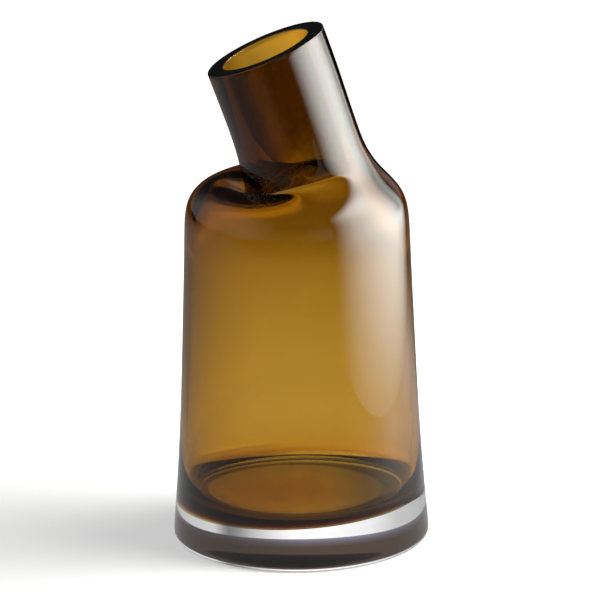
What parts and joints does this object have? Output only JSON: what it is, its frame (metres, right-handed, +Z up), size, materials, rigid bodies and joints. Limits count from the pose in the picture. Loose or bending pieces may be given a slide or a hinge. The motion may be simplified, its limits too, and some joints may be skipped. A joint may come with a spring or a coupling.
{
  "type": "bud vase",
  "caption": "Amber glass bud vase with a round shoulder, a slim neck leaning over to one side, and a thick clear glass base fused on at a slight slant.",
  "frame": {"origin": "centre of the flat underside of the base", "axes": "+Z up through the body; the neck leans towards -X; the vase is the same on its +Y and -Y sides"},
  "size_m": [0.093, 0.093, 0.1898],
  "materials": {
    "amber_glass": "clear polished amber brown",
    "clear_glass": "clear polished"
  },
  "bodies": {
    "root": {"amber_vessel": "amber_glass", "clear_base": "clear_glass"}
  },
  "joints": []
}
